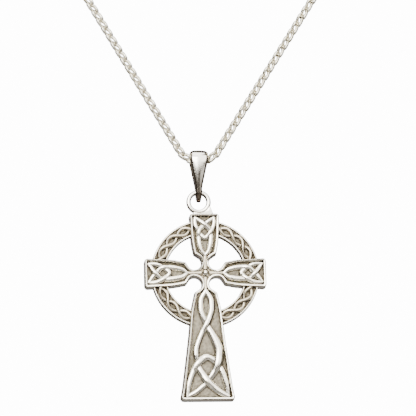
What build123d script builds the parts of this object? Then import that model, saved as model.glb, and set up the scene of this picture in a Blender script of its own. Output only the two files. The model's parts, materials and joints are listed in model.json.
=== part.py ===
from build123d import *
import os
from math import atan2, cos, pi, radians, sin, tan

os.makedirs("parts", exist_ok=True)

# Celtic cross pendant on a curb chain, as it is worn. Millimetres.
# +Z is up, the cross faces -Y, and +X is to the right as one looks at its face.
# The origin is at the nape, in the middle of the clasp, where the chain hangs on a neck.

# Chain: one twisted wire link, repeated along a loop
chain_length = 457.0
link_pitch = 1.9
link_wire = 0.42
link_half_length = 1.3
link_half_width = 0.66
link_fullness = 3.0
end_roll = 48.0
strand_slope = 59.0
bend_radius = 4.6

# Clasp: a plain barrel with an eye at each end
clasp_length = 8.0
clasp_radius = 1.2
clasp_neck = 0.5
eye_radius = 0.62
eye_wire = 0.48

# Bail: a tapered strip closed into a loop
bail_bore = 1.55
bail_wall = 0.65
bail_half_width = 1.84
bail_foot_half_width = 0.62
bail_drop = 7.1
bight_bore = 0.8
bight_wall = 1.4
bail_corner = 0.6

# Suspension ring: cast on the top arm, and held in the bail
ring_bore = 1.6
ring_rim = 0.87
ring_depth = 1.1
ring_edge = 0.35
ring_height = 14.6
ring_offset = -1.04
ring_play = 0.27
foot_left = 2.1
foot_right = 1.85
foot_turn = 19.0
foot_margin = 0.08

# Cross: one casting
lean = 1.2
cross_depth = 2.4
panel_depth = 1.75
rim_width = 0.6
arm_reach = 12.2
arm_half_width = 3.05
shaft_reach = 25.7
shaft_half_width = 5.4
corner_radius = 0.45
panel_corner = 0.15
hollow_place = 2.2
hollow_radius = 1.42
shoulder_angle = 141.0
point_angle = 53.5
boss_radius = 0.6
boss_height = 0.5
ridge_width = 0.7
ridge_height = 0.35

# Nimbus: the round ring behind the arms
nimbus_outer = 10.9
nimbus_inner = 7.9
nimbus_back = 0.3
nimbus_panel = 1.5
nimbus_rim = 0.42
nimbus_relief = 0.35
twist_width = 0.5
twist_margin = 0.08
twist_crossings = 20

# Interlace: raised strands on the panels
strand_width = 0.72
strand_height = 0.45

# The chain's way round the neck, on the right, as shares of its length: from the top
# of the straight strand, over the shoulder, to the nape at the origin
NECK_ROUTE = [
    Vector(0.103, -0.204, -0.102),
    Vector(0.121, -0.150, -0.060),
    Vector(0.117, -0.085, -0.032),
    Vector(0.082, -0.032, -0.013),
    Vector(0.038, -0.006, -0.003),
]

# Sides of a limb, from its inner corner to its end, as shares of its reach and half width
ARM_SIDES = [(0.320, 0.750), (0.570, 0.920), (1.0, 1.0)]
SHAFT_SIDES = [(0.152, 0.425), (0.300, 0.574), (0.530, 0.695), (1.0, 1.0)]

# Strands of the arm's three cornered knot, as shares of the panel's length and half width.
# The hook joins the two outer corners, and each flank runs from a corner to the point.
HOOK = [(0.965, 0.76), (0.85, 0.78), (0.74, 0.69), (0.62, 0.46), (0.53, 0.22), (0.49, 0.0)]
FLANK = [
    (0.965, 0.76), (0.85, 0.17), (0.75, -0.20), (0.68, -0.42),
    (0.55, -0.50), (0.36, -0.45), (0.19, -0.30), (0.105, 0.0),
]

# Half of the shaft's strands, one side of its axis, as shares of the panel's length and
# half width. The weave crosses the axis twice on its way from the point to the corner.
WEAVE = [
    (0.030, 0.0), (0.100, 0.19), (0.165, 0.225), (0.235, 0.19), (0.335, 0.0),
    (0.415, -0.20), (0.540, -0.42), (0.605, -0.455), (0.665, -0.42), (0.735, -0.345),
    (0.855, 0.0), (0.905, 0.24), (0.950, 0.49), (0.988, 0.82),
]
ARCH = [(0.635, 0.0), (0.655, 0.21), (0.700, 0.40), (0.760, 0.55), (0.880, 0.75), (0.988, 0.83)]


def point_on(direction, along, across):
    """A point of the cross's face, along one limb's axis from the boss and across it."""
    turn = radians(direction)
    return (along * cos(turn) - across * sin(turn), along * sin(turn) + across * cos(turn))


def roll_at(x):
    """How far the link's wire is rolled about the link's long axis, in radians."""
    return radians(end_roll) * sin(pi / 2 * x / link_half_length)


def wire_point(degrees):
    """A point of the link's centreline: a full oval, rolled one way at each end."""
    c, s = cos(radians(degrees)), sin(radians(degrees))
    x = link_half_length * (1 if c > 0 else -1) * abs(c) ** (2 / link_fullness)
    y = link_half_width * (1 if s > 0 else -1) * abs(s) ** (2 / link_fullness)
    return Vector(x, y * cos(roll_at(x)), y * sin(roll_at(x)))


# The route of the chain. The strand rises from the bend inside the bail, straight and flat
# against the chest, and then turns back over the shoulder, round the nape and down again.
slope = radians(strand_slope)
strand_direction = Vector(cos(slope), 0, sin(slope))
eye_place = clasp_length / 2 + eye_radius
right_points = [share * chain_length for share in NECK_ROUTE] + [Vector(eye_place, 0, 0)]
left_points = [Vector(-point.X, point.Y, point.Z) for point in reversed(right_points)]
strand_top = right_points[0]
with BuildLine() as neck_line:
    Spline(
        *right_points, *left_points,
        tangents=(strand_direction, Vector(cos(slope), 0, -sin(slope))),
    )
    split(bisect_by=Plane.YZ, keep=Keep.TOP)
neck = neck_line.line.edges()[0]

bend_run = bend_radius * slope
strand_run = (strand_top.X - bend_radius * sin(slope)) / cos(slope)
bend_foot = strand_top - strand_direction * strand_run
chain_bottom = Vector(0, strand_top.Y, bend_foot.Z - bend_radius * (1 - cos(slope)))
half_route = bend_run + strand_run + neck.length

# The links are spread evenly, from a joint in the middle of the bend to one in the clasp's eye.
link_span = half_route - eye_place - link_half_length
links_each_side = round(link_span / link_pitch + 0.5)
pitch = link_span / (links_each_side - 0.5)


def route_at(run):
    """Place, direction and outward side of the right half of the chain at a run from the bottom."""
    if run < bend_run:
        turn = run / bend_radius
        place = chain_bottom + Vector(bend_radius * sin(turn), 0, bend_radius * (1 - cos(turn)))
        return place, Vector(cos(turn), 0, sin(turn)), Vector(0, -1, 0)
    if run < bend_run + strand_run:
        return bend_foot + strand_direction * (run - bend_run), strand_direction, Vector(0, -1, 0)
    share = (run - bend_run - strand_run) / neck.length
    swing = radians(180 * share - 90)
    return neck.position_at(share), neck.tangent_at(share), Vector(cos(swing), sin(swing), 0)


def link_place(run, side):
    """The location of a link on the right side, or on the left with side -1."""
    place, along, out = (Vector(side * v.X, v.Y, v.Z) for v in route_at(run))
    return Plane(origin=place, x_dir=along, z_dir=out - along * along.dot(out)).location


# Link: one closed oval of wire, swept in two halves whose walls are sewn into one skin
OVAL_TURNS = (0, 50, 90, 130, 180, 230, 270, 310)
with BuildLine() as oval:
    Spline(*[wire_point(turn) for turn in OVAL_TURNS], periodic=True)
walls = []
for first, last, inward in ((0, 0.5, -1), (0.5, 1, 1)):
    with BuildPart() as half_link:
        with BuildLine() as centreline:
            add(oval.line.edges()[0].trim(first, last))
        half_oval = centreline.line.edges()[0]
        with BuildSketch(Plane(origin=half_oval @ 0, x_dir=(inward, 0, 0), z_dir=half_oval % 0)):
            Circle(link_wire / 2)
        sweep(path=half_oval, is_frenet=True)
    walls += half_link.faces().filter_by(GeomType.PLANE, reverse=True)
link = Solid(Shell(walls))

# Chain: the loose links lie apart, so they are gathered without being joined
link_runs = [(step + 0.5) * pitch for step in range(links_each_side)]
chain = Compound(
    label="chain",
    children=[link.moved(link_place(run, side)) for side in (1, -1) for run in link_runs],
)
export_step(chain, "parts/chain.step")

# Clasp: a turned barrel, closed at both ends, with an eye for the chain's end link
with BuildPart() as clasp:
    with BuildSketch(Plane.XY):
        with BuildLine():
            neck_x = clasp_length / 2
            shoulder_x = neck_x - clasp_radius
            Line((0, 0), (0, clasp_radius))
            Line((0, clasp_radius), (shoulder_x, clasp_radius))
            Spline(
                (shoulder_x, clasp_radius), (neck_x, clasp_neck),
                tangents=((1, 0), (1, -0.5)),
            )
            Line((neck_x, clasp_neck), (neck_x, 0))
            Line((neck_x, 0), (0, 0))
        make_face()
        mirror(about=Plane.YZ)
    revolve(axis=Axis.X)
    for side in (1, -1):
        # The eye stands square to the end of the link that it holds.
        lean_out = Vector(0, cos(radians(end_roll)), side * sin(radians(end_roll)))
        eye = Plane(origin=(side * eye_place, 0, 0), x_dir=(1, 0, 0), z_dir=lean_out)
        with Locations(eye.location):
            Torus(eye_radius, eye_wire / 2)
clasp.part.label = "clasp"
export_step(clasp.part, "parts/clasp.step")

# Bail: the loop's side view, drawn round the chain and cut to its tapered front view
bail_top = bail_bore + bail_wall
bight_top = bight_bore + bail_wall
bight_seat = bight_wall - bail_wall


def loop_side(top_radius, foot_radius, foot_drop):
    """A closed loop of two arcs and their tangents, round the chain and round the ring's rim."""
    lean_in = (top_radius - foot_radius) / foot_drop
    level = (1 - lean_in**2) ** 0.5
    top = (top_radius * level, top_radius * -lean_in)
    foot = (foot_radius * level, -foot_drop + foot_radius * -lean_in)
    with BuildLine() as loop:
        ThreePointArc(top, (0, top_radius), (-top[0], top[1]))
        Line((-top[0], top[1]), (-foot[0], foot[1]))
        ThreePointArc((-foot[0], foot[1]), (0, -foot_drop - foot_radius), foot)
        Line(foot, top)
    make_face(loop.edges())


hinge = chain_bottom
side_view = Plane(origin=hinge, x_dir=(0, 1, 0), z_dir=(1, 0, 0))
front_view = Plane(origin=hinge, x_dir=(1, 0, 0), z_dir=(0, -1, 0))
with BuildPart() as bail:
    with BuildSketch(side_view):
        loop_side(bail_top, bight_top, bail_drop)
    extrude(amount=bail_half_width, both=True)
    with BuildSketch(front_view) as taper:
        with BuildLine():
            foot_level = -(bail_drop - bight_top)
            end_level = -(bail_drop + bight_top)
            for side in (1, -1):
                Polyline(
                    (0, bail_top),
                    (side * bail_half_width, bail_top),
                    (side * bail_half_width, 0),
                    (side * bail_foot_half_width, foot_level),
                    (side * bail_foot_half_width, end_level),
                    (0, end_level),
                )
        make_face()
        fillet(taper.vertices().group_by(Axis.Y)[-1], bail_corner)
    extrude(amount=bail_top, both=True, mode=Mode.INTERSECT)
    with BuildSketch(side_view):
        loop_side(bail_bore, bight_bore, bail_drop - bight_seat)
    extrude(amount=bail_half_width, both=True, mode=Mode.SUBTRACT)
bail.part.label = "bail"
export_step(bail.part, "parts/bail.step")

# Cross: drawn on its back plane, which leans with the hanging cross
turn = radians(lean)
right = Vector(cos(turn), 0, sin(turn))
up = Vector(-sin(turn), 0, cos(turn))
seat_level = -(bail_drop - bight_seat) - bight_bore
ring_centre = hinge + Vector(0, 0, seat_level + ring_play - ring_bore)
boss_place = ring_centre - right * ring_offset - up * ring_height
back = Plane(origin=boss_place + Vector(0, cross_depth / 2, 0), x_dir=right, z_dir=(0, -1, 0))
LIMBS = [
    (0, arm_reach, arm_half_width, ARM_SIDES),
    (90, arm_reach, arm_half_width, ARM_SIDES),
    (180, arm_reach, arm_half_width, ARM_SIDES),
    (270, shaft_reach, shaft_half_width, SHAFT_SIDES),
]


def limb_edge(limb, inset=0):
    """One side of a limb from its point to its end, or of the shape that lies inside it by an inset."""
    direction, reach, half_width, sides = limb
    edge = [(reach * along, half_width * across) for along, across in sides]
    (start, width), (next_start, next_width) = edge[:2]
    point_turn = radians(point_angle)
    side_turn = atan2(next_width - width, next_start - start)
    spread = inset / (1 + cos(point_turn - side_turn))
    tip = (start - width / tan(point_turn) + inset / sin(point_turn), 0)
    corner = (
        start + spread * (sin(point_turn) + sin(side_turn)),
        width - spread * (cos(point_turn) + cos(side_turn)),
    )
    flank = [(along, across - inset) for along, across in edge[1:-1]]
    return [tip, corner, *flank, (reach - inset, half_width - inset)]


def limb_face(limb, inset=0, round_off=corner_radius, mode=Mode.ADD):
    """One limb, from its point near the boss to its square end with rounded corners."""
    tip, corner, *flank, (end, width) = limb_edge(limb, inset)
    cut = round_off * (1 - 0.5**0.5)
    with BuildLine() as outline:
        for side in (1, -1):
            points = [corner, *flank, (end - round_off, width)]
            points = [point_on(limb[0], along, side * across) for along, across in points]
            Line(point_on(limb[0], *tip), points[0])
            Spline(*points)
            ThreePointArc(
                points[-1],
                point_on(limb[0], end - cut, side * (width - cut)),
                point_on(limb[0], end, side * (width - round_off)),
            )
        Line(
            point_on(limb[0], end, width - round_off),
            point_on(limb[0], end, round_off - width),
        )
    make_face(outline.edges(), mode=mode)


def waist_face():
    """The middle of the cross, where four round hollows leave a narrow neck to each limb."""
    near = hollow_place + hollow_radius * cos(radians(shoulder_angle))
    far = hollow_place + hollow_radius * sin(radians(shoulder_angle))
    middle = hollow_place - hollow_radius * 0.5**0.5
    with BuildLine() as outline:
        for direction in (0, 90, 180, 270):
            Line(point_on(direction, far, -near), point_on(direction, far, near))
            ThreePointArc(
                point_on(direction, far, near),
                point_on(direction, middle, middle),
                point_on(direction + 90, far, -near),
            )
    make_face(outline.edges())


def strand_on(limb, shares, side):
    """One raised strand of the interlace, from shares of the panel's length and half width."""
    start, end = limb_edge(limb, rim_width)[0][0], limb_edge(limb, rim_width)[-1]
    with BuildLine() as line:
        Spline(*[
            point_on(limb[0], start + along * (end[0] - start), side * across * end[1])
            for along, across in shares
        ])
    trace(line.edges(), strand_width)


with BuildPart() as cross:
    # Nimbus
    with BuildSketch(back.offset(nimbus_back)):
        Circle(nimbus_outer)
        Circle(nimbus_inner, mode=Mode.SUBTRACT)
    extrude(amount=nimbus_panel - nimbus_back)

    # Limbs and the waisted middle, up to the floor of the sunk panels
    with BuildSketch(back):
        for limb in LIMBS:
            limb_face(limb)
        waist_face()
    extrude(amount=panel_depth)

    # Raised rim round each panel
    with BuildSketch(back.offset(panel_depth)):
        for limb in LIMBS:
            limb_face(limb)
        for limb in LIMBS:
            limb_face(limb, rim_width, panel_corner, Mode.SUBTRACT)
    extrude(amount=cross_depth - panel_depth)

    # Rims of the nimbus and the twist of two strands between them
    with BuildSketch(back.offset(nimbus_panel)):
        for outer in (nimbus_outer, nimbus_inner + nimbus_rim):
            with BuildSketch(mode=Mode.PRIVATE) as rim:
                Circle(outer)
                Circle(outer - nimbus_rim, mode=Mode.SUBTRACT)
            add(rim.sketch)
        step = 360 / twist_crossings
        middle = (nimbus_outer + nimbus_inner) / 2
        sway = (nimbus_outer - nimbus_inner - twist_width) / 2 - nimbus_rim - twist_margin
        for crossing in range(twist_crossings):
            for swing in (sway, -sway):
                with BuildLine() as wave:
                    ThreePointArc(
                        point_on(crossing * step, middle, 0),
                        point_on((crossing + 0.5) * step, middle + swing, 0),
                        point_on((crossing + 1) * step, middle, 0),
                    )
                trace(wave.edges(), twist_width)
        for limb in LIMBS:
            limb_face(limb, mode=Mode.SUBTRACT)
    extrude(amount=nimbus_relief)

    # Interlace
    with BuildSketch(back.offset(panel_depth)):
        for limb in LIMBS[:3]:
            for shares in (HOOK, FLANK):
                for side in (1, -1):
                    strand_on(limb, shares, side)
        for shares in (WEAVE, ARCH):
            for side in (1, -1):
                strand_on(LIMBS[3], shares, side)
    extrude(amount=strand_height)

    # A ridge along each neck, and the round boss where they meet
    with BuildSketch(back.offset(panel_depth)):
        for limb in LIMBS:
            tip = limb_edge(limb, rim_width)[0][0]
            with BuildLine() as ridge:
                Line((0, 0), point_on(limb[0], tip + ridge_width, 0))
            trace(ridge.edges(), ridge_width)
    extrude(amount=ridge_height)
    with BuildSketch(back.offset(panel_depth)):
        Circle(boss_radius)
    extrude(amount=boss_height)

    # Suspension ring and the foot that joins it to the top arm
    middle_plane = back.offset(cross_depth / 2)
    ring_seat = middle_plane.from_local_coords(Vector(ring_offset, ring_height, 0))
    with BuildSketch(Plane(origin=ring_seat, x_dir=right, z_dir=-up)):
        with Locations((ring_bore + ring_rim / 2, 0)):
            RectangleRounded(ring_rim, ring_depth, ring_edge)
    revolve(axis=Axis(ring_seat, (0, 1, 0)))
    foot_grip = ring_bore + ring_rim - foot_margin
    foot_top = ring_height - foot_grip * sin(radians(foot_turn))
    with BuildSketch(middle_plane):
        with BuildLine():
            Polyline(
                (-foot_left, arm_reach - rim_width),
                (-foot_left, foot_top),
                (ring_offset + foot_grip * cos(radians(foot_turn)), foot_top),
                (foot_right, arm_reach),
                (foot_right, arm_reach - rim_width),
                close=True,
            )
        make_face()
        with Locations((ring_offset, ring_height)):
            Circle(ring_bore + ring_rim / 2, mode=Mode.SUBTRACT)
    extrude(amount=ring_depth / 2 - foot_margin, both=True)
cross.part.label = "cross"
export_step(cross.part, "parts/cross.step")
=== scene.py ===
import bmesh
import bpy
import json
import math
import numpy as np
from mathutils import Matrix, Vector

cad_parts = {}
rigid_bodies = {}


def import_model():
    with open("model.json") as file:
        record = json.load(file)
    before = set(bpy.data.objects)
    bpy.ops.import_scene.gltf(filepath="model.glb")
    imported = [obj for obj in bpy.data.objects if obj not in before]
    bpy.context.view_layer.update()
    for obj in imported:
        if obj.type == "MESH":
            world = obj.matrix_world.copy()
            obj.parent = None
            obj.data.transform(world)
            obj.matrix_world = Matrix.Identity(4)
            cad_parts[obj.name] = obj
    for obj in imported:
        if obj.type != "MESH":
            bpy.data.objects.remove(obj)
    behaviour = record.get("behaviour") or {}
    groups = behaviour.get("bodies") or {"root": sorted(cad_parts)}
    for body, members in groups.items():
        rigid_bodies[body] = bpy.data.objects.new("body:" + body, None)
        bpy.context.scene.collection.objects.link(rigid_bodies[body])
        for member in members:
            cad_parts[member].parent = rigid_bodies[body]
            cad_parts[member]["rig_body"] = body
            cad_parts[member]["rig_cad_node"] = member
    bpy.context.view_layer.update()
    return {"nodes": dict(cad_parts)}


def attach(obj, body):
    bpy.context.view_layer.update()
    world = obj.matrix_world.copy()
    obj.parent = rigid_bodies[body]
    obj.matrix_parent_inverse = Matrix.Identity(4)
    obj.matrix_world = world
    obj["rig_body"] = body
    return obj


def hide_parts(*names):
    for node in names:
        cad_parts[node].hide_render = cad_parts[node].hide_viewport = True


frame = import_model()

MM = 0.001

# Sizes of the cross and its hangings, in millimetres, as in the CAD model
LEAN = 1.2
HINGE = Vector((0, -93.228, -120.622))
RING_CENTRE = HINGE + Vector((0, 0, -8.48))
RING_HEIGHT = 14.6
RING_OFFSET = -1.04
RING_OUTER = 2.47
CROSS_DEPTH = 2.4
PANEL_DEPTH = 1.75
RIM_WIDTH = 0.6
ARM_REACH = 12.2
ARM_HALF_WIDTH = 3.05
SHAFT_REACH = 25.7
SHAFT_HALF_WIDTH = 5.4
POINT_ANGLE = 53.5
NIMBUS_OUTER = 10.9
NIMBUS_INNER = 7.9
NIMBUS_BACK = 0.3
NIMBUS_PANEL = 1.5
NIMBUS_RIM = 0.42
NIMBUS_RELIEF = 0.35
HOLLOW_PLACE = 2.2
HOLLOW_RADIUS = 1.42
SHOULDER_ANGLE = 141
LINKS = 236
PITCH = 1.89504
BEND_RADIUS = 4.6

# The ring's bore, drawn a little tighter than the CAD model's 1.6 for a fuller wire
RING_BORE = 1.54

# The cross's own plane: u to the right, v up, w out of its face, from the middle of its back
turn = math.radians(LEAN)
RIGHT = Vector((math.cos(turn), 0, math.sin(turn)))
UP = Vector((-math.sin(turn), 0, math.cos(turn)))
BOSS_PLACE = RING_CENTRE - RIGHT * RING_OFFSET - UP * RING_HEIGHT
BACK = Matrix((
    (RIGHT.x, UP.x, 0, BOSS_PLACE.x),
    (RIGHT.y, UP.y, -1, BOSS_PLACE.y + CROSS_DEPTH / 2),
    (RIGHT.z, UP.z, 0, BOSS_PLACE.z),
    (0, 0, 0, 1),
))

# Each limb's direction, reach, half width at its end, and its sides as shares of these two,
# in the order in which the limbs follow each other anticlockwise
ARM_SIDES = [(0.320, 0.750), (0.570, 0.920), (1.0, 1.0)]
SHAFT_SIDES = [(0.152, 0.425), (0.300, 0.574), (0.530, 0.695), (1.0, 1.0)]
LIMBS = {
    "right_arm": (0, ARM_REACH, ARM_HALF_WIDTH, ARM_SIDES),
    "top_arm": (90, ARM_REACH, ARM_HALF_WIDTH, ARM_SIDES),
    "left_arm": (180, ARM_REACH, ARM_HALF_WIDTH, ARM_SIDES),
    "shaft": (270, SHAFT_REACH, SHAFT_HALF_WIDTH, SHAFT_SIDES),
}
AROUND = tuple(LIMBS)

# Where a neck begins, along its limb's axis and across it
NECK_FAR = HOLLOW_PLACE + HOLLOW_RADIUS * math.sin(math.radians(SHOULDER_ANGLE))
NECK_NEAR = HOLLOW_PLACE + HOLLOW_RADIUS * math.cos(math.radians(SHOULDER_ANGLE))

# The radius of a limb's end corners
CORNER = 0.7

# How many pieces a hollow's curve has, and a flank's curve between two of its points
HOLLOW_STEPS = 12
FLANK_STEPS = 5

# The material slots of the cross's castings
TOP, SIDE, GROUND = 0, 1, 2

# The cross's edge from its outline inwards, each step with its width, its rise and its slot:
# the draft of the mould, the rim's rounding, its flat, and the drop to the sunk floor
ROUND_OUTSIDE, ROUND_INSIDE = 0.54, 0.17
RIM_STEPS = [
    (0.05, CROSS_DEPTH - ROUND_OUTSIDE, SIDE), (0.06, 0.27, TOP), (0.08, 0.17, TOP),
    (0.08, 0.10, TOP), (0.20, 0.0, TOP), (0.08, -0.05, TOP), (0.05, -0.12, TOP),
    (0.05, -(CROSS_DEPTH - PANEL_DEPTH - ROUND_INSIDE), SIDE),
]

# How deep the rim sinks towards the necks, over what way, and how far out it starts
SINK_DEPTH, SINK_WAY, SINK_START = 0.22, 1.4, 3.7

# The strands: their height over the floor, the reach of a crossing's lift as a share of a
# strand's width, the pieces between two points, and the pieces at an end that cross nothing
STRAND_SEAT = 0.16
LIFT_REACH = 1.15
WEAVE_STEPS = 8
END_STEPS = 4

# How far the nimbus goes in under the rims, between which two places along a limb it meets
# them, and how often a range is halved to find its ends
UNDERLAP = 0.3
MEET_NEAR, MEET_FAR = 7.5, 10.3
HALVINGS = 30

# The patches that wear leaves duller, and how far they change the roughness either way
WEAR_PATCH = 2.5
WEAR_LEAST, WEAR_MOST = 0.8, 1.25


def linear(code):
    """An sRGB hex colour as linear RGBA."""
    parts = [int(code[i:i + 2], 16) / 255 for i in (1, 3, 5)]
    return [c / 12.92 if c <= 0.04045 else ((c + 0.055) / 1.055) ** 2.4 for c in parts] + [1.0]


def node(tree, kind, inputs=(), **settings):
    """Adds one shader node, with its settings, its values and its links."""
    made = tree.nodes.new(kind)
    for name, value in settings.items():
        setattr(made, name, value)
    for name, value in dict(inputs).items():
        if isinstance(value, bpy.types.NodeSocket):
            tree.links.new(value, made.inputs[name])
        else:
            made.inputs[name].default_value = value
    return made


def remap(tree, value, low, high, to_low=0.0, to_high=1.0):
    """A value taken from one range to another."""
    return node(tree, "ShaderNodeMapRange", {
        "Value": value, "From Min": low, "From Max": high, "To Min": to_low, "To Max": to_high,
    }).outputs["Result"]


def blend(tree, share, low, high):
    """A colour between two others."""
    # These are the numbers of the colour sockets of a node that also mixes plain values.
    colours = {0: share, 6: low, 7: high}
    return node(tree, "ShaderNodeMix", colours, data_type="RGBA").outputs[2]


def metal(
    name, colour, roughness, grit_size, grit_depth, mottle=0.0, dark=None, crevice=None, foot=None,
):
    """A metal with a grit of a real size, darker in its pits, in crevices or at its foot.

    A crevice is (shade, reach, low, high), and its last two are the open shares of the sky at
    which the shade is full and gone. A foot is (shade, bottom, top), with two heights.
    """
    material = bpy.data.materials.new(name)
    material.use_nodes = True
    tree = material.node_tree
    tree.nodes.clear()
    place = node(tree, "ShaderNodeTexCoord").outputs["Object"]
    grit = node(tree, "ShaderNodeTexNoise", {
        "Vector": place, "Scale": 1 / (grit_size * MM), "Detail": 3.0,
    }).outputs["Fac"]
    wear = node(tree, "ShaderNodeTexNoise", {
        "Vector": place, "Scale": 1 / (WEAR_PATCH * MM), "Detail": 2.0,
    }).outputs["Fac"]
    skin = linear(colour)
    if dark:
        skin = blend(tree, remap(tree, grit, 0.5 - mottle, 0.5 + mottle), linear(dark), skin)
    if foot:
        # Painted shade, darkest at the bottom, thins out upwards from one height to another.
        shade, bottom, top = foot
        height = node(tree, "ShaderNodeSeparateXYZ", {"Vector": place}).outputs["Z"]
        skin = blend(tree, remap(tree, height, bottom * MM, top * MM), linear(shade), skin)
    if crevice:
        # Darker where the sky is hidden: partly antiquing left where the buffing wheel can't
        # reach, partly painted shade in the crevices.
        shade, reach, low, high = crevice
        sky = node(tree, "ShaderNodeAmbientOcclusion", {"Distance": reach * MM}, samples=8)
        skin = blend(tree, remap(tree, sky.outputs["AO"], low, high), linear(shade), skin)
    bump = node(tree, "ShaderNodeBump", {
        "Height": grit, "Strength": 1.0, "Distance": grit_depth * MM,
    })
    shader = node(tree, "ShaderNodeBsdfPrincipled", {
        "Base Color": skin, "Metallic": 1.0, "Normal": bump.outputs["Normal"],
        "Roughness": remap(tree, wear, 0.3, 0.7, roughness * WEAR_LEAST, roughness * WEAR_MOST),
    })
    node(tree, "ShaderNodeOutputMaterial", {"Surface": shader.outputs["BSDF"]})
    return material


# Sterling silver, buffed on a wheel: near white and mirror-like, with faint waves
polished = metal(
    "polished_sterling_silver", "#ece6d8", roughness=0.14, grit_size=2.0, grit_depth=0.004,
)
# The bail is polished too, with painted shade that darkens it towards its foot, where the ring
# hangs in it
bail_silver_painted_shade = metal(
    "polished_silver_painted_shade_foot", "#ece6d8", roughness=0.14, grit_size=2.0, grit_depth=0.004,
    foot=("#6f6254", HINGE.z - 7.2, HINGE.z - 0.6),
)
# The relief is buffed on top only, and its foot is brown from antiquing and from painted shade
buffed = metal(
    "buffed_cast_silver", "#ebe4d2", roughness=0.2, grit_size=0.4, grit_depth=0.012,
    crevice=("#3a3020", 0.45, 0.3, 0.82),
)
# The sunk floors keep the stippled skin of the casting and a grey-brown antiquing, darker near the
# walls and strands from antiquing and painted shade
stippled = metal(
    "antiqued_stippled_silver", "#878070", roughness=0.36, grit_size=0.45, grit_depth=0.06,
    mottle=0.3, dark="#5c5445", crevice=("#2c2518", 1.2, 0.42, 1.0),
)
# The cast sides are left grey from the antiquing bath
sides = metal(
    "antiqued_cast_sides", "#857c6c", roughness=0.3, grit_size=0.6, grit_depth=0.01,
)
# The middle and the nimbus's twist are rubbed by the fingers, and duller than the buffed relief,
# with antiquing and painted shade in their crevices
rubbed = metal(
    "rubbed_cast_silver", "#b8ad97", roughness=0.32, grit_size=0.5, grit_depth=0.015,
    crevice=("#5d503a", 0.6, 0.3, 0.85),
)
# Drawn silver wire of the chain, darker where its links touch from a little tarnish and painted
# shade
wire = metal(
    "bright_drawn_silver_wire", "#e4ddc8", roughness=0.42, grit_size=0.8, grit_depth=0.004,
    crevice=("#a39a7c", 0.3, 0.2, 0.6),
)


def finish(name, mesh, place, material_list, body, smooth):
    """One finished piece: its place goes into its mesh, and it rides on its body."""
    mesh.transform(Matrix.Scale(MM, 4) @ place)
    for material in material_list:
        mesh.materials.append(material)
    for polygon in mesh.polygons:
        polygon.use_smooth = True
    mesh.set_sharp_from_angle(angle=math.radians(smooth))
    piece = bpy.data.objects.new(name, mesh)
    bpy.context.scene.collection.objects.link(piece)
    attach(piece, body)
    return piece


def from_bmesh(bm):
    """The mesh of a bmesh, with doubles merged and faces pointing outwards."""
    bmesh.ops.remove_doubles(bm, verts=bm.verts, dist=1e-4)
    bmesh.ops.recalc_face_normals(bm, faces=bm.faces)
    mesh = bpy.data.meshes.new("made")
    bm.to_mesh(mesh)
    bm.free()
    return mesh


def absorb(bm, mesh):
    """Adds a mesh to a bmesh, and drops the mesh."""
    bm.from_mesh(mesh)
    bpy.data.meshes.remove(mesh)


def verts_of(grown):
    """The vertices among what a bmesh operator gives back."""
    return [v for v in grown["geom"] if isinstance(v, bmesh.types.BMVert)]


def on_limb(limb, along, across, height=0.0):
    """A point of the cross from its place along a limb's axis and across it."""
    angle = math.radians(limb[0])
    c, s = math.cos(angle), math.sin(angle)
    return Vector((along * c - across * s, along * s + across * c, height))


def smooth_run(points, steps):
    """Points along a smooth curve through a few chosen ones."""
    ends = [points[0] * 2 - points[1], *points, points[-1] * 2 - points[-2]]
    run = []
    for a, b, c, d in zip(ends, ends[1:], ends[2:], ends[3:]):
        for step in range(steps):
            t = step / steps
            run.append(0.5 * (
                b * 2 + (c - a) * t + (a * 2 - b * 5 + c * 4 - d) * t * t
                + (b * 3 - a - c * 3 + d) * t ** 3
            ))
    return run + [points[-1]]


def limb_side(limb, inset=0.0):
    """One side of a limb as places along and across it: its tip, then corner, flanks and end."""
    _, reach, half_width, sides_of = limb
    edge = [(reach * along, half_width * across) for along, across in sides_of]
    (start, width), (next_start, next_width) = edge[:2]
    point_turn = math.radians(POINT_ANGLE)
    side_turn = math.atan2(next_width - width, next_start - start)
    spread = inset / (1 + math.cos(point_turn - side_turn))
    tip = (start - width / math.tan(point_turn) + inset / math.sin(point_turn), 0)
    corner = (
        start + spread * (math.sin(point_turn) + math.sin(side_turn)),
        width - spread * (math.cos(point_turn) + math.cos(side_turn)),
    )
    flank = [(along, across - inset) for along, across in edge[1:-1]]
    return tip, [corner, *flank, (reach - inset, half_width - inset)]


def half_width_at(limb, along):
    """Half the width of a limb at a place along it."""
    side = limb_side(limb)[1]
    for (a, wide_a), (b, wide_b) in zip(side, side[1:]):
        if along <= b:
            return wide_a + (wide_b - wide_a) * (along - a) / (b - a)
    return side[-1][1]


def limb_outline(limb):
    """One side of a limb from where its neck begins to the middle of its rounded end corner."""
    run = smooth_run([Vector((a, b, 0)) for a, b in limb_side(limb)[1]], FLANK_STEPS)
    corner = run.pop()
    arc = [
        (corner.x - CORNER * (1 - math.sin(a)), corner.y - CORNER * (1 - math.cos(a)))
        for a in (0, math.pi / 8, math.pi / 4, math.pi * 3 / 8, math.pi / 2)
    ]
    return [(NECK_FAR, NECK_NEAR)] + [(p.x, p.y) for p in run if p.x < corner.x - CORNER] + arc


def cross_outline():
    """The outline of the whole cross: both sides of each limb, and the hollow after it."""
    first = 90 - SHOULDER_ANGLE
    sweep = 2 * SHOULDER_ANGLE - 450
    outline = []
    for name in AROUND:
        limb = LIMBS[name]
        side = limb_outline(limb)
        outline += [on_limb(limb, a, -b) for a, b in side]
        outline += [on_limb(limb, a, b) for a, b in reversed(side)]
        for step in range(1, HOLLOW_STEPS):
            angle = math.radians(first + sweep * step / HOLLOW_STEPS)
            outline.append(on_limb(
                limb, HOLLOW_PLACE + HOLLOW_RADIUS * math.cos(angle),
                HOLLOW_PLACE + HOLLOW_RADIUS * math.sin(angle),
            ))
    return outline


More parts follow.
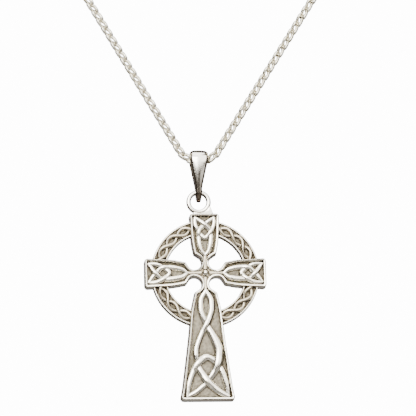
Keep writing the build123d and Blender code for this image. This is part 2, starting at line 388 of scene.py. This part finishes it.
def make_casting():
    """The four limbs and their necks, cast as one tray with drafted sides and a sunk floor."""
    bm = bmesh.new()
    floor_face = bm.faces.new([bm.verts.new(place) for place in cross_outline()])
    floor_face.normal_update()
    if floor_face.normal.z < 0:
        bmesh.ops.reverse_faces(bm, faces=[floor_face])
    back = bmesh.ops.duplicate(bm, geom=[floor_face])["geom"]
    bmesh.ops.reverse_faces(bm, faces=[f for f in back if isinstance(f, bmesh.types.BMFace)])
    for thickness, depth, slot in RIM_STEPS:
        walls = bmesh.ops.inset_region(
            bm, faces=[floor_face], thickness=thickness, depth=depth, use_even_offset=True,
            use_boundary=True,
        )["faces"]
        for face in walls:
            face.material_index = slot
    floor_face.material_index = GROUND
    bmesh.ops.triangulate(bm, faces=[f for f in bm.faces if len(f.verts) > 4])
    # The rim sinks a little towards the necks, and the back, below one millimetre, stays flat.
    for vert in bm.verts:
        near = min(max((SINK_START - math.hypot(vert.co.x, vert.co.y)) / SINK_WAY, 0), 1)
        if vert.co.z > 1:
            vert.co.z -= SINK_DEPTH * near * near * (3 - 2 * near)
    finish("cross_casting", from_bmesh(bm), BACK, [buffed, sides, stippled], "cross", smooth=50)


def make_strand(path, closed=False, sides_round=4):
    """A round bead of metal along a smooth path of (place, radius)."""
    curve = bpy.data.curves.new("strand", "CURVE")
    curve.dimensions = "3D"
    curve.bevel_depth = 1.0
    curve.bevel_resolution = sides_round
    curve.use_fill_caps = True
    curve.resolution_u = 1
    line = curve.splines.new("POLY")
    line.points.add(len(path) - 1)
    for point, (place, radius) in zip(line.points, path):
        point.co = (*place, 1)
        point.radius = radius
    line.use_cyclic_u = closed
    holder = bpy.data.objects.new("strand", curve)
    mesh = bpy.data.meshes.new_from_object(holder)
    bpy.data.objects.remove(holder)
    bpy.data.curves.remove(curve)
    return mesh


def is_inside(i, run):
    """Whether a piece of a run isn't one of those at its ends, where the strands only meet."""
    return END_STEPS <= i < len(run) - END_STEPS


def crossings(first, second):
    """Where two flat paths cross, as the number of the piece and the share of the way along it."""
    found = []
    for i in range(len(first) - 1):
        p, r = first[i], first[i + 1] - first[i]
        for j in range(len(second) - 1):
            q, s = second[j], second[j + 1] - second[j]
            under = r.x * s.y - r.y * s.x
            if abs(under) < 1e-12:
                continue
            t = ((q - p).x * s.y - (q - p).y * s.x) / under
            k = ((q - p).x * r.y - (q - p).y * r.x) / under
            if 0 <= t < 1 and 0 <= k < 1 and is_inside(i, first) and is_inside(j, second):
                found.append((i + t, j + k))
    return found


def weave(name, limb, strands, overs, width, rise, dip, flatness):
    """Strands laid over and under each other on a limb's floor, each as wide as its points say."""
    tip, side_points = limb_side(limb, RIM_WIDTH)
    start, (end, half_end) = tip[0], side_points[-1]
    runs, widths = [], []
    for points, side in strands:
        # A point's third number is the strand's width there, as a share of the usual one.
        run = smooth_run([
            on_limb(limb, start + along * (end - start), side * across * half_end, share)
            for along, across, share in points
        ], WEAVE_STEPS)
        runs.append([place.to_2d() for place in run])
        widths.append([width * place.z for place in run])
    lifts = [[0.0] * len(run) for run in runs]
    reach = LIFT_REACH * width
    for top, under in overs:
        for i, j in crossings(runs[top], runs[under]):
            for strand, centre, lift in ((top, i, rise), (under, j, -dip)):
                here = runs[strand][int(centre)]
                for k, place in enumerate(runs[strand]):
                    gap = (place - here).length
                    if gap < reach:
                        lifts[strand][k] += lift * 0.5 * (1 + math.cos(math.pi * gap / reach))
    bm = bmesh.new()
    for run, lift, wide in zip(runs, lifts, widths):
        path = [
            (Vector((p.x, p.y, PANEL_DEPTH + STRAND_SEAT + h)), w / 2)
            for p, h, w in zip(run, lift, wide)
        ]
        absorb(bm, make_strand(path))
        for place, radius in (path[0], path[-1]):
            bmesh.ops.create_uvsphere(
                bm, u_segments=14, v_segments=8, radius=radius, matrix=Matrix.Translation(place),
            )
    # The strands are flatter than round, and end level with the rim.
    for vert in bm.verts:
        vert.co.z = PANEL_DEPTH + (vert.co.z - PANEL_DEPTH) * flatness
    finish(name, from_bmesh(bm), BACK, [buffed], "cross", smooth=60)


# The strands' points: the share of the way along the limb and across it, and the width's share
HOOK = [
    (0.965, 0.76, 0.75), (0.85, 0.78, 0.9), (0.74, 0.69, 1.0), (0.62, 0.46, 1.0),
    (0.53, 0.22, 1.05), (0.49, 0.0, 1.1), (0.53, -0.22, 1.05), (0.62, -0.46, 1.0),
    (0.74, -0.69, 1.0), (0.85, -0.78, 0.9), (0.965, -0.76, 0.75),
]
FLANK = [
    (0.965, 0.76, 0.75), (0.85, 0.17, 1.0), (0.75, -0.20, 1.05), (0.68, -0.42, 1.0),
    (0.55, -0.50, 1.1), (0.36, -0.45, 1.15), (0.19, -0.30, 1.0), (0.08, 0.0, 0.75),
]
# The strand that passes over at the upper crossing, then on the left and down to the right corner
LEFT_WEAVE = [
    (0.030, 0.0, 0.7), (0.100, 0.19, 0.85), (0.165, 0.225, 0.9), (0.235, 0.19, 0.9),
    (0.335, 0.0, 0.9), (0.415, -0.20, 0.85), (0.540, -0.42, 0.85), (0.605, -0.455, 0.85),
    (0.665, -0.42, 0.8), (0.735, -0.345, 0.9), (0.855, 0.0, 1.1), (0.905, 0.24, 1.05),
    (0.950, 0.49, 0.95), (0.988, 0.82, 0.7),
]
# The strand that passes under there, and is the fullest of all on the right
RIGHT_WEAVE = [
    (0.030, 0.0, 0.7), (0.100, 0.19, 0.8), (0.165, 0.225, 0.85), (0.235, 0.19, 0.85),
    (0.335, 0.0, 0.85), (0.415, -0.20, 1.05), (0.500, -0.40, 1.25), (0.580, -0.50, 1.3),
    (0.665, -0.46, 1.25), (0.735, -0.36, 1.1), (0.855, 0.0, 0.75), (0.905, 0.24, 0.75),
    (0.950, 0.49, 0.75), (0.988, 0.82, 0.6),
]
# The strand that lies across the lower half, from corner to corner
ARCH = [
    (0.988, 0.83, 0.6), (0.880, 0.78, 0.8), (0.760, 0.60, 0.85), (0.700, 0.42, 0.85),
    (0.655, 0.22, 0.9), (0.635, 0.0, 1.0), (0.655, -0.22, 1.0), (0.700, -0.42, 1.0),
    (0.760, -0.58, 0.95), (0.880, -0.77, 0.85), (0.988, -0.83, 0.6),
]

make_casting()

# The hook passes over one flank, that flank over the other, and the other over the hook.
for name, way in (("left_arm", 1), ("right_arm", -1), ("top_arm", -1)):
    weave(
        name + "_knot", LIMBS[name], [(HOOK, 1), (FLANK, -way), (FLANK, way)],
        [(0, 1), (1, 2), (2, 0)], width=1.05, rise=0.24, dip=0.12, flatness=0.68,
    )
weave(
    "shaft_knot", LIMBS["shaft"], [(LEFT_WEAVE, 1), (RIGHT_WEAVE, -1), (ARCH, 1)],
    [(0, 1), (2, 0), (1, 2)], width=1.5, rise=0.28, dip=0.16, flatness=0.56,
)


def make_waist():
    """The middle of the cross: a ridge along each neck, and the round boss where they meet."""
    steps = 8
    start, past_the_point = 0.85, 0.7
    low, climb = PANEL_DEPTH - 0.38, 0.14
    thick, thinning = 0.76, 0.16
    bm = bmesh.new()
    for limb in LIMBS.values():
        tip = limb_side(limb, RIM_WIDTH)[0][0] + past_the_point
        path = []
        for k in range(steps + 1):
            t = k / steps
            place = on_limb(limb, start + (tip - start) * t, 0, low + climb * t)
            path.append((place, thick - thinning * t))
        absorb(bm, make_strand(path))
    finish("neck_ridges", from_bmesh(bm), BACK, [rubbed], "cross", smooth=60)

    boss_radius = 0.76
    bm = bmesh.new()
    bmesh.ops.create_uvsphere(
        bm, u_segments=32, v_segments=16, radius=boss_radius,
        matrix=Matrix.Translation((0, 0, PANEL_DEPTH)),
    )
    finish("boss", from_bmesh(bm), BACK, [buffed], "cross", smooth=60)

    # The floor between the necks is rubbed too.
    depth = 0.3
    bm = bmesh.new()
    bmesh.ops.create_cone(
        bm, segments=32, radius1=1.4, radius2=1.3, depth=depth, cap_ends=True,
        matrix=Matrix.Translation((0, 0, PANEL_DEPTH - depth / 2)),
    )
    finish("boss_ground", from_bmesh(bm), BACK, [rubbed], "cross", smooth=30)


make_waist()


def cut_angle(limb, radius):
    """The angle from a limb's axis at which a circle goes in under the limb's rim."""
    low, high = 0.0, 45.0
    for _ in range(HALVINGS):
        middle = (low + high) / 2
        here = math.radians(middle)
        if radius * math.sin(here) < half_width_at(limb, radius * math.cos(here)) - UNDERLAP:
            low = middle
        else:
            high = middle
    return low


def cut_at_limb(part, limb, at_start):
    """Cuts a quarter of the nimbus off inside a limb, at its start or its end, and closes it."""
    # The limb's side is nearly straight where the band meets it.
    near = half_width_at(limb, MEET_NEAR) - UNDERLAP
    far = half_width_at(limb, MEET_FAR) - UNDERLAP
    lean = math.atan2(far - near, MEET_FAR - MEET_NEAR)
    place, out = Vector((MEET_NEAR, near, 0)), Vector((-math.sin(lean), math.cos(lean), 0))
    if not at_start:
        place, out = place.yxz, out.yxz
    bmesh.ops.bisect_plane(
        part, geom=list(part.verts) + list(part.edges) + list(part.faces),
        plane_co=place, plane_no=out, clear_inner=True,
    )
    bmesh.ops.holes_fill(part, edges=[e for e in part.edges if e.is_boundary], sides=0)


def make_nimbus():
    """The round band behind the arms: a rim at each edge, and a sunk floor between."""
    low, high = NIMBUS_PANEL, NIMBUS_PANEL + NIMBUS_RELIEF
    inner, outer, rim = NIMBUS_INNER, NIMBUS_OUTER, NIMBUS_RIM
    edge_drop = 0.12
    # The section of a rim: places in from the band's edge, with their heights
    section = [
        (0.0, NIMBUS_BACK), (0.08, high - edge_drop), (0.17, high), (rim - 0.1, high),
        (rim, high - 0.1), (rim + 0.02, low),
    ]
    profile = [(inner + way, w) for way, w in section]
    profile += [(outer - way, w) for way, w in reversed(section)]
    bm = bmesh.new()
    for quarter in range(4):
        part = bmesh.new()
        verts = [part.verts.new((r, 0, w)) for r, w in profile]
        edges = [part.edges.new((a, b)) for a, b in zip(verts, verts[1:] + verts[:1])]
        bmesh.ops.spin(
            part, geom=verts + edges, cent=(0, 0, 0), axis=(0, 0, 1), angle=math.radians(90),
            steps=40, use_merge=False, use_normal_flip=False, use_duplicate=False,
        )
        for face in part.faces:
            middle = face.calc_center_median()
            between_rims = inner + rim < math.hypot(middle.x, middle.y) < outer - rim
            if between_rims and abs(middle.z - low) < 0.02:
                face.material_index = GROUND
            else:
                face.material_index = TOP if middle.z > high - edge_drop else SIDE
        cut_at_limb(part, LIMBS[AROUND[quarter]], at_start=True)
        cut_at_limb(part, LIMBS[AROUND[(quarter + 1) % 4]], at_start=False)
        bmesh.ops.rotate(
            part, verts=part.verts, cent=(0, 0, 0),
            matrix=Matrix.Rotation(math.radians(90 * quarter), 3, "Z"),
        )
        mesh = bpy.data.meshes.new("quarter")
        part.to_mesh(mesh)
        part.free()
        absorb(bm, mesh)
    finish("nimbus", from_bmesh(bm), BACK, [buffed, sides, stippled], "cross", smooth=40)


def make_twist():
    """The two strands that twist round each other along the nimbus's floor."""
    steps, waves_round = 60, 10
    middle, sway = (NIMBUS_INNER + NIMBUS_OUTER) / 2, 0.7
    seat, rise, radius = NIMBUS_PANEL + 0.1, 0.17, 0.4
    bm = bmesh.new()
    for quarter in range(4):
        limb, next_limb = LIMBS[AROUND[quarter]], LIMBS[AROUND[(quarter + 1) % 4]]
        first = 90 * quarter + cut_angle(limb, middle)
        last = 90 * quarter + 90 - cut_angle(next_limb, middle)
        for sign in (1, -1):
            path = []
            for k in range(steps + 1):
                # Angles run anticlockwise, and a strand that comes outwards lies on top.
                angle = math.radians(first + (last - first) * k / steps)
                phase = waves_round * angle
                r = middle + sign * sway * math.sin(phase)
                height = seat + rise * sign * math.cos(phase)
                place = Vector((r * math.cos(angle), r * math.sin(angle), height))
                path.append((place, radius))
            absorb(bm, make_strand(path))
    finish("nimbus_twist", from_bmesh(bm), BACK, [rubbed], "cross", smooth=60)


make_nimbus()
make_twist()


def make_ring():
    """The suspension ring, spun from a rounded square section."""
    middle, half_wall = (RING_BORE + RING_OUTER) / 2, (RING_OUTER - RING_BORE) / 2
    half_depth, edge = 0.55, 0.14
    bm = bmesh.new()
    for vert in bmesh.ops.create_circle(bm, segments=20, radius=1, cap_ends=False)["verts"]:
        c, s = vert.co.x, vert.co.y
        square = (abs(c) ** 3 + abs(s) ** 3) ** (-1 / 3)
        vert.co = Vector((middle + half_wall * c * square, 0, half_depth * s * square))
    bmesh.ops.spin(
        bm, geom=list(bm.verts) + list(bm.edges), cent=(0, 0, 0), axis=(0, 0, 1),
        angle=math.radians(360), steps=72, use_merge=True, use_normal_flip=False,
        use_duplicate=False,
    )
    # The ring is polished on its face and back, and left grey inside and round its edge.
    for face in bm.faces:
        place = face.calc_center_median()
        on_face = RING_BORE + edge < math.hypot(place.x, place.y) < RING_OUTER - edge
        face.material_index = 0 if on_face else 1
    centre = BACK @ Matrix.Translation((RING_OFFSET, RING_HEIGHT, CROSS_DEPTH / 2))
    finish("suspension_ring", from_bmesh(bm), centre, [polished, stippled], "cross", smooth=60)


def make_foot():
    """The ring's flat foot, which fills the space from the top arm to the ring's own curve."""
    slope, steps = math.radians(19), 8
    left, right_low, low = -2.1, 1.85, ARM_REACH - RIM_WIDTH
    back, thickness, rounding = 0.73, 0.94, 0.12
    grip = RING_OUTER - 0.08
    top = RING_HEIGHT - grip * math.sin(slope)
    middle = (RING_BORE + RING_OUTER) / 2
    first, last = math.acos((left - RING_OFFSET) / middle), math.asin((RING_HEIGHT - top) / middle)
    shape = [
        (right_low, low), (right_low, ARM_REACH), (RING_OFFSET + grip * math.cos(slope), top),
    ]
    for k in range(steps + 1):
        a = last + (first - last) * k / steps
        shape.append((RING_OFFSET + middle * math.cos(a), RING_HEIGHT - middle * math.sin(a)))
    shape.append((left, low))
    bm = bmesh.new()
    face = bm.faces.new([bm.verts.new((u, v, back)) for u, v in shape])
    grown = bmesh.ops.extrude_face_region(bm, geom=[face])
    bmesh.ops.translate(bm, verts=verts_of(grown), vec=(0, 0, thickness))
    bmesh.ops.bevel(
        bm, geom=list(bm.edges), offset=rounding, offset_type="OFFSET", segments=3, profile=0.5,
        affect="EDGES", material=-1, clamp_overlap=True,
    )
    finish("ring_foot", from_bmesh(bm), BACK, [polished], "cross", smooth=60)


make_ring()
make_foot()


def draw_bail_strip(bore, bight, drop):
    """A thin strip bent into the bail's loop, one wide on each side, and its outer vertices."""
    bm = bmesh.new()
    for vert in bmesh.ops.create_circle(bm, segments=64, radius=1, cap_ends=False)["verts"]:
        c, s = vert.co.x, vert.co.y
        if s > -1e-6:
            vert.co = Vector((-1, bore * c, bore * s))
        else:
            vert.co = Vector((-1, bight * c, bight * s - drop))
    bmesh.ops.subdivide_edges(bm, edges=[e for e in bm.edges if e.calc_length() > 2], cuts=9)
    edges = list(bm.edges)
    # The columns are narrower towards the strip's two edges, where its face curves most.
    for step in (0.06, 0.1, 0.14, 0.2, 0.25, 0.25, 0.25, 0.25, 0.2, 0.14, 0.1, 0.06):
        grown = bmesh.ops.extrude_edge_only(bm, edges=edges)
        bmesh.ops.translate(bm, verts=verts_of(grown), vec=(step, 0, 0))
        edges = [
            e for e in grown["geom"] if isinstance(e, bmesh.types.BMEdge)
            and abs(e.verts[0].co.x - e.verts[1].co.x) < 1e-6
        ]
    return bm, set(verts_of(bmesh.ops.extrude_face_region(bm, geom=list(bm.faces))))


def make_bail():
    """The bail: a strip bent into a loop, wide over the chain and narrow in the ring."""
    bore, bight, drop = 1.56, 0.81, 6.35
    wide, narrow, taper_end = 1.82, 0.68, -5.65
    wall, bow_height, bight_wall = 0.63, 0.13, 0.75
    crown_fall, flank_place, flank_fall, flank_curve = 0.22, 0.8, 0.5, 1.3
    top_height, top_pull, bight_pull = 1.3, 0.3, 0.1
    bm, outer = draw_bail_strip(bore, bight, drop)
    for vert in bm.verts:
        across, y, z = vert.co
        share = min(max(z / taper_end, 0), 1)
        width = wide + (narrow - wide) * share
        if vert in outer:
            # A low crown with a narrow steep flank on each side, and a thicker wall in the bight
            flank = max(0, (abs(across) - flank_place) / (1 - flank_place)) ** flank_curve
            crown = 1 - crown_fall * across**2 - flank_fall * flank
            down = 0.0
            if z > 0:
                out = Vector((0, y, z)).normalized()
            elif z < -drop:
                out = Vector((0, y, z + drop)).normalized()
                down = max(0.0, -out.z)
            else:
                out = Vector((0, math.copysign(1, y), 0))
            bow = bow_height * math.sin(math.pi * min(max(-z / drop, 0), 1))
            vert.co += out * (wall + bow + bight_wall * down**3) * crown
            # The strip draws in over the top, and a little in the bight.
            width -= top_pull * max(0, vert.co.z - top_height) ** 2 + bight_pull * down**2
        vert.co.x = across * width
    finish("bail_strip", from_bmesh(bm), Matrix.Translation(HINGE), [bail_silver_painted_shade], "bail", smooth=40)


make_bail()

for piece in list(bpy.context.scene.objects):
    if piece.get("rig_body") == "cross" and not piece.get("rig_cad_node"):
        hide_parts("cross")
    if piece.get("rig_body") == "bail" and not piece.get("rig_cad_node"):
        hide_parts("bail")

# A link's halves and wire, how full its oval is, how far its ends roll, and its slant
LINK_HALF_LENGTH, LINK_HALF_WIDTH, LINK_WIRE = 1.24, 0.46, 0.74
LINK_FULLNESS, LINK_ROLL, LINK_SLANT = 2.2, 52, 18
LINK_STEPS = 18


def link_moves():
    """How the first link of the CAD chain is moved to the place of each of its links."""
    cad = frame["nodes"]["chain"].data
    points = np.empty(len(cad.vertices) * 3)
    cad.vertices.foreach_get("co", points)
    links = points.reshape(LINKS, -1, 3) / MM
    first = links[0] - links[0].mean(0)
    moves = []
    for link in links:
        centre = link.mean(0)
        u, _, v = np.linalg.svd(first.T @ (link - centre))
        flip = np.diag((1, 1, np.linalg.det(u @ v)))
        turned = Matrix((v.T @ flip @ u.T).tolist()).to_4x4()
        moves.append(Matrix.Translation(centre) @ turned @ Matrix.Translation(-links[0].mean(0)))
    return moves


def make_link():
    """One link of round wire: an oval, twisted along its length and laid at a slant."""
    path = []
    for step in range(LINK_STEPS):
        angle = math.tau * step / LINK_STEPS
        c, s = math.cos(angle), math.sin(angle)
        x = LINK_HALF_LENGTH * math.copysign(abs(c) ** (2 / LINK_FULLNESS), c)
        y = LINK_HALF_WIDTH * math.copysign(abs(s) ** (2 / LINK_FULLNESS), s)
        roll = math.radians(LINK_ROLL) * math.sin(math.pi / 2 * x / LINK_HALF_LENGTH)
        place = Vector((x, y * math.cos(roll), y * math.sin(roll)))
        place.rotate(Matrix.Rotation(math.radians(LINK_SLANT), 3, "Z"))
        path.append((place, LINK_WIRE / 2))
    return make_strand(path, closed=True, sides_round=1)


def make_chain():
    """The links, each where the CAD chain has its own."""
    link = make_link()
    # The first link lies beside the chain's lowest point, on the bend that carries the bail.
    bend = PITCH / 2 / BEND_RADIUS
    along = Vector((math.cos(bend), 0, math.sin(bend)))
    out = Vector((0, -1, 0))
    across = out.cross(along)
    spot = HINGE + BEND_RADIUS * Vector((math.sin(bend), 0, 1 - math.cos(bend)))
    first = Matrix((
        (along.x, across.x, out.x, spot.x), (along.y, across.y, out.y, spot.y),
        (along.z, across.z, out.z, spot.z), (0, 0, 0, 1),
    ))
    bm = bmesh.new()
    for move in link_moves():
        copy = link.copy()
        copy.transform(move @ first)
        absorb(bm, copy)
    piece = finish("curb_chain", from_bmesh(bm), Matrix.Identity(4), [wire], "chain", smooth=80)
    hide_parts("chain")


make_chain()
for slot in frame["nodes"]["clasp"].material_slots:
    slot.material = wire


def way_to(azimuth, elevation):
    """The direction from the cross to a place, from its angles in degrees."""
    a, e = math.radians(azimuth), math.radians(elevation)
    return Vector((math.sin(a) * math.cos(e), -math.cos(a) * math.cos(e), math.sin(e)))


# The camera, from far away and with a narrow lens, a little below the cross and to its left
AZIMUTH, ELEVATION, FRAME_WIDTH, DISTANCE = -4.5, -13.0, 83.2, 700.0
SENSOR = 36
toward = way_to(AZIMUTH, ELEVATION)
target = HINGE + Vector((1.9, 0, -9.6))
camera = bpy.data.cameras.new("camera")
camera.sensor_width = SENSOR
camera.lens = SENSOR * DISTANCE / FRAME_WIDTH
camera.clip_start = 0.01
camera.clip_end = 20
eye = bpy.data.objects.new("camera", camera)
eye.location = (target + toward * DISTANCE) * MM
eye.rotation_euler = (-toward).to_track_quat("-Z", "Y").to_euler()
bpy.context.scene.collection.objects.link(eye)
bpy.context.scene.camera = eye


def glowing_paper(name, colour, strength):
    """A matt paper that glows like a lit sheet."""
    material = bpy.data.materials.new(name)
    material.use_nodes = True
    tree = material.node_tree
    tree.nodes.clear()
    shader = node(tree, "ShaderNodeBsdfPrincipled", {
        "Base Color": linear(colour), "Roughness": 0.9,
        "Emission Color": linear(colour), "Emission Strength": strength,
    })
    node(tree, "ShaderNodeOutputMaterial", {"Surface": shader.outputs["BSDF"]})
    return material


def stage_sheet(name, centre, size, facing, material):
    """A square sheet of the stage, in millimetres, that faces a given way."""
    bm = bmesh.new()
    bmesh.ops.create_grid(bm, x_segments=1, y_segments=1, size=size / 2)
    turned = Vector(facing).to_track_quat("Z", "Y").to_matrix().to_4x4()
    bmesh.ops.transform(bm, verts=bm.verts, matrix=Matrix.Translation(centre) @ turned)
    bmesh.ops.scale(bm, verts=bm.verts, vec=(MM, MM, MM))
    mesh = bpy.data.meshes.new(name)
    bm.to_mesh(mesh)
    bm.free()
    mesh.materials.append(material)
    sheet = bpy.data.objects.new(name, mesh)
    bpy.context.scene.collection.objects.link(sheet)
    # The paper is seen, but it doesn't light the silver.
    sheet.visible_diffuse = False
    sheet.visible_glossy = False


# The stage is a closed room of paper, so wide that every view of the part is taken inside it
WALL, FLOOR, SHEET = 5000, -3000, 12000
paper = glowing_paper("white_paper", "#ffffff", 14.0)
stage_sheet("floor", (0, 0, FLOOR), SHEET, (0, 0, 1), paper)
stage_sheet("backdrop", (0, WALL, 0), SHEET, (0, -1, 0), paper)
stage_sheet("back_wall", (0, -WALL, 0), SHEET, (0, 1, 0), paper)
stage_sheet("left_wall", (-WALL, 0, 0), SHEET, (1, 0, 0), paper)
stage_sheet("right_wall", (WALL, 0, 0), SHEET, (-1, 0, 0), paper)
stage_sheet("ceiling", (0, 0, WALL), SHEET, (0, 0, -1), paper)

world = bpy.data.worlds.new("studio")
world.use_nodes = True
background = world.node_tree.nodes["Background"].inputs
background["Color"].default_value = linear("#cfc2b0")
background["Strength"].default_value = 0.12
bpy.context.scene.world = world


def soft_light(name, azimuth, elevation, distance, size, power):
    """A soft box that faces the cross from a direction, with its size in millimetres."""
    lamp = bpy.data.lights.new(name, "AREA")
    lamp.shape = "RECTANGLE"
    lamp.size, lamp.size_y = size[0] * MM, size[1] * MM
    lamp.energy = power
    way = way_to(azimuth, elevation)
    holder = bpy.data.objects.new(name, lamp)
    holder.location = (BOSS_PLACE + way * distance) * MM
    holder.rotation_euler = way.to_track_quat("Z", "Y").to_euler()
    holder.visible_camera = False
    bpy.context.scene.collection.objects.link(holder)


soft_light("front_tent", 2, 33, 900, (1500, 860), 20)
soft_light("key_box", -14, 20, 880, (420, 420), 7.5)
# The bail's face mirrors these two cards, and the dark gap between them in its middle.
soft_light("left_card", -15, -1, 900, (420, 150), 0.1)
soft_light("right_card", 24, -1, 900, (420, 150), 0.3)
soft_light("top_box", -20, 75, 700, (400, 400), 3)
# The cross's back and its lower walls mirror these dim cards behind it.
soft_light("low_card", 176, -14, 900, (900, 300), 0.35)
soft_light("back_card", 180, 14, 1000, (1300, 500), 1.3)
# A ring of dim cards below the camera keeps the silver from going black from any other side.
for azimuth, power in ((-45, 2.6), (45, 2.6), (-135, 1.2), (135, 1.2)):
    soft_light("low_ring_card", azimuth, -38, 1000, (2000, 900), power)
